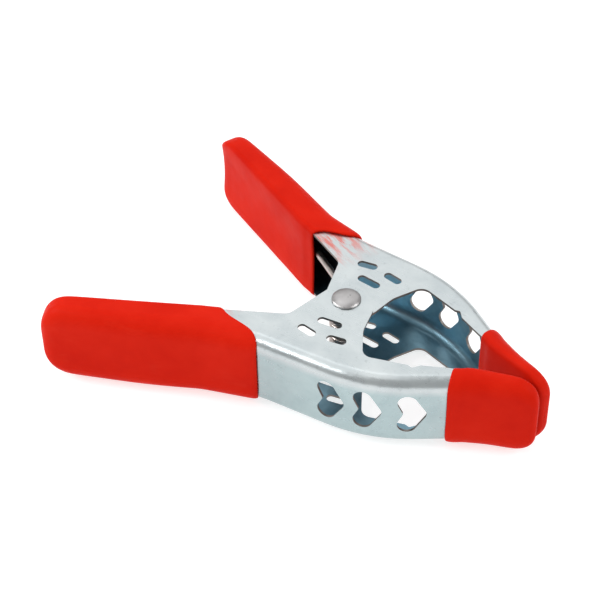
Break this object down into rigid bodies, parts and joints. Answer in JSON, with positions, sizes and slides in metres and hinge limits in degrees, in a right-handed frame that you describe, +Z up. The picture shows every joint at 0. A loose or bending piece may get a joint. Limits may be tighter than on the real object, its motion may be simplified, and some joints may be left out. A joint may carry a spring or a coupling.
{
  "type": "spring clamp",
  "caption": "Stamped-steel spring clamp: two channel arms on a rivet, held shut by a torsion spring, with red vinyl handle sleeves and jaw caps.",
  "frame": {"origin": "on the pivot axis, in the flat outer face of the rivet's lower head, which lies in the plane the clamp rests on", "axes": "+Z up along the pivot; +X from the pivot to the jaws, along the clamp's centre line; +Y to the left arm's side"},
  "size_m": [0.1595, 0.1168, 0.0329],
  "materials": {
    "zinc_steel": "zinc-plated sheet, soft satin shine",
    "grip_vinyl": "satin red vinyl",
    "cap_vinyl": "satin red vinyl",
    "rivet_steel": "bright head, slightly mottled",
    "spring_steel": "plain drawn wire"
  },
  "bodies": {
    "left_half": {"left_arm": "zinc_steel", "left_grip": "grip_vinyl", "left_jaw_cap": "cap_vinyl", "pivot_rivet": "rivet_steel", "torsion_spring": "spring_steel"},
    "right_half": {"right_arm": "zinc_steel", "right_grip": "grip_vinyl", "right_jaw_cap": "cap_vinyl"}
  },
  "joints": [
    {"name": "jaw_pivot", "type": "hinge", "parent": "left_half", "child": "right_half", "pos_m": [0, 0, 0], "axis": [0, 0, -1], "range_deg": [0, 43], "stiffness_Nm_per_rad": 4.5, "deforming": ["torsion_spring"]}
  ]
}
